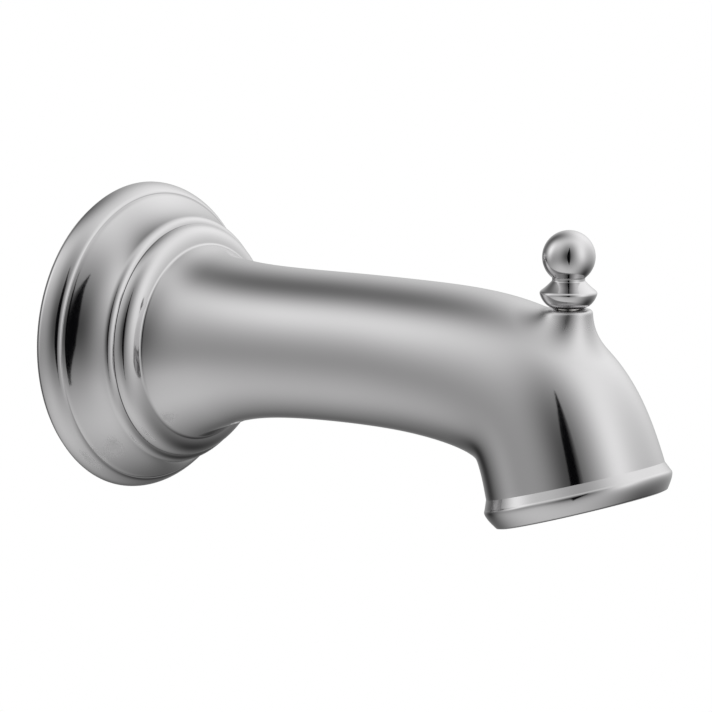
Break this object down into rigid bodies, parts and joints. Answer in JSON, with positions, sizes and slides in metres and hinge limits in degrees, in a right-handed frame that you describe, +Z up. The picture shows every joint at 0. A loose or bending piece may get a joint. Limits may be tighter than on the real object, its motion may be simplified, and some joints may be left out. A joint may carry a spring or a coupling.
{
  "type": "bath spout",
  "caption": "Wall-mounted bath spout with a stepped round flange, a curved round body, a beaded mouth and a lift-up diverter knob, slipped over a supply pipe.",
  "frame": {"origin": "on the wall plane, at the centre of the supply pipe", "axes": "+X out from the wall along the pipe, +Z up along the diverter's lift, +Y completes the right-handed frame"},
  "size_m": [0.1643, 0.083, 0.083],
  "materials": {
    "satin_metal": "satin plated casting",
    "bright_metal": "bright plated knob",
    "steel": "turned steel",
    "pale_plastic": "moulded",
    "dark_plastic": "moulded",
    "seal_rubber": "matt"
  },
  "bodies": {
    "spout": {"spout_body": "satin_metal", "waterway": "pale_plastic", "rear_pipe_seal": "seal_rubber", "front_pipe_seal": "seal_rubber", "set_screw": "steel", "gate_frame": "dark_plastic", "stem_guide": "dark_plastic", "stem_seal": "seal_rubber"},
    "diverter": {"lift_knob": "bright_metal", "lift_stem": "steel", "diverter_gate": "pale_plastic", "gate_seal": "seal_rubber"}
  },
  "joints": [
    {"name": "diverter_lift", "type": "slide", "parent": "spout", "child": "diverter", "axis": [0, 0, 1], "range_m": [0, 0.012]}
  ]
}
